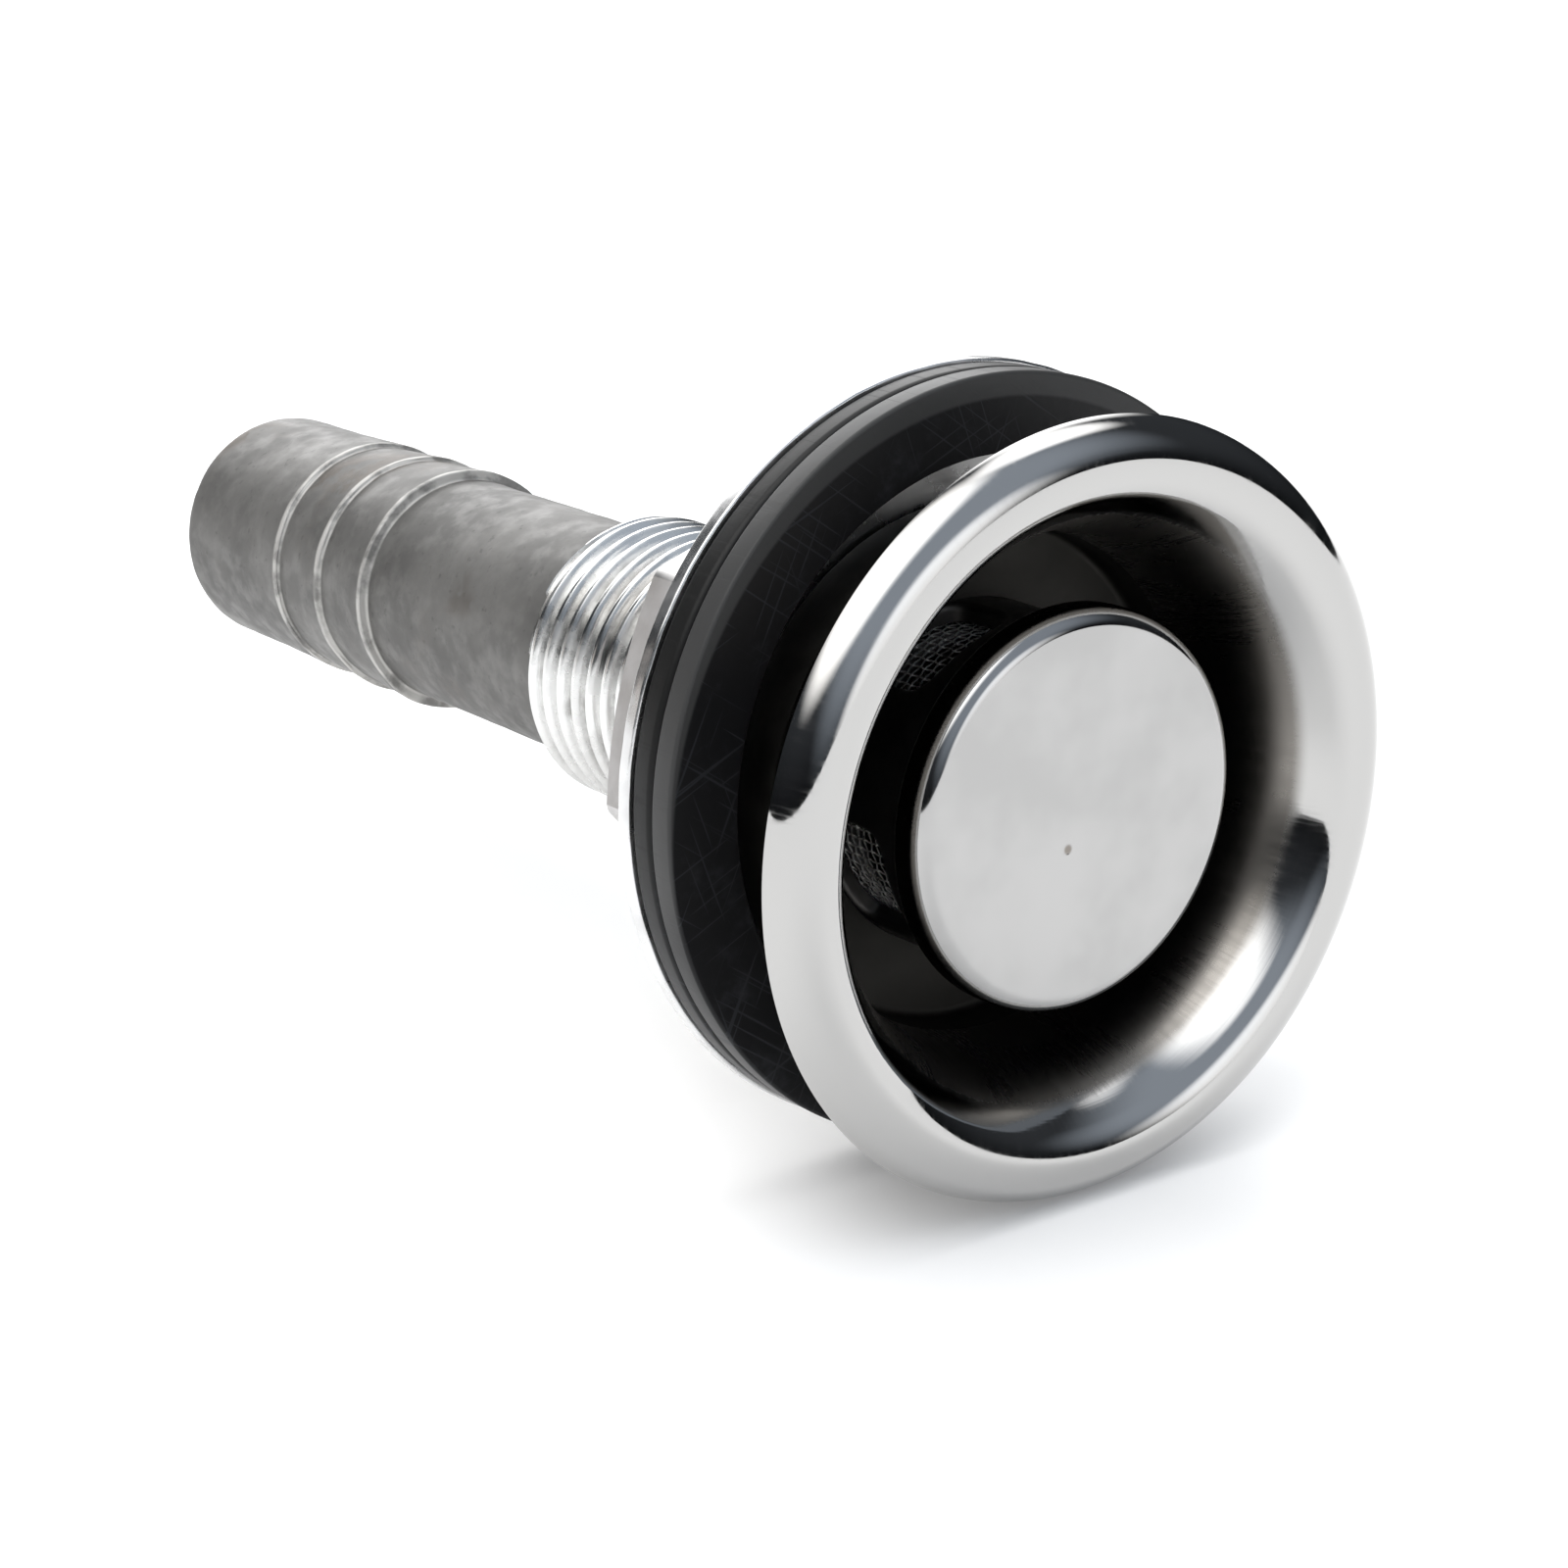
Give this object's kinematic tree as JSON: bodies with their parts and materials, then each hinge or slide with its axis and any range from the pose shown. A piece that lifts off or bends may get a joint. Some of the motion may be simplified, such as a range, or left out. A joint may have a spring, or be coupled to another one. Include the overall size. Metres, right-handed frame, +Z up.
{
  "type": "thru hull fitting",
  "caption": "Flush stainless vent thru-hull: bell-mouthed round flange, screened vent hub under a cap, threaded stem with gaskets, washer and hex nut, barbed hose tail.",
  "frame": {"origin": "centre of the flange's flat back, the plane that seats on the hull's outer face", "axes": "+Y runs inboard along the stem towards the hose tail, the flange's polished face looks along -Y, +Z is up"},
  "size_m": [0.0504, 0.1047, 0.0515],
  "materials": {
    "polished_flange": "mirror-polished stainless steel",
    "bowl_steel": "satin stainless steel",
    "polished_cap": "polished stainless steel, slightly pitted",
    "hub_steel": "satin stainless steel",
    "wire_screen": "woven stainless wire",
    "ring_steel": "rolled stainless strip",
    "thread_steel": "cut thread, bright stainless steel",
    "cast_steel": "rough cast stainless steel",
    "black_rubber": "black sheet rubber with a dull sheen",
    "washer_steel": "stamped stainless sheet",
    "nut_steel": "bright turned stainless steel"
  },
  "bodies": {
    "stem": {"bell_flange": "polished_flange", "bowl_housing": "bowl_steel", "vent_cap": "polished_cap", "vent_hub": "hub_steel", "flame_screen": "wire_screen", "screen_retainer": "ring_steel", "threaded_sleeve": "thread_steel", "hose_tail": "cast_steel"},
    "outer_gasket": {"outer_gasket": "black_rubber"},
    "clamp_stack": {"inner_gasket": "black_rubber", "steel_washer": "washer_steel"},
    "hull_nut": {"hex_nut": "nut_steel"}
  },
  "joints": [
    {"name": "outer_gasket_slide", "type": "slide", "parent": "stem", "child": "outer_gasket", "axis": [0, -1, 0], "range_m": [0, 0.0048]},
    {"name": "clamp_stack_slide", "type": "slide", "parent": "stem", "child": "clamp_stack", "axis": [0, 1, 0], "range_m": [0, 0.017]},
    {"name": "nut_turn", "type": "hinge", "parent": "clamp_stack", "child": "hull_nut", "pos_m": [0, 0.0268, 0], "axis": [0, 1, 0], "range_deg": [0, 3370]}
  ],
  "couplings": [
    {"joint": "clamp_stack_slide", "follows": "nut_turn", "m_per_rad": 0.00028871}
  ]
}
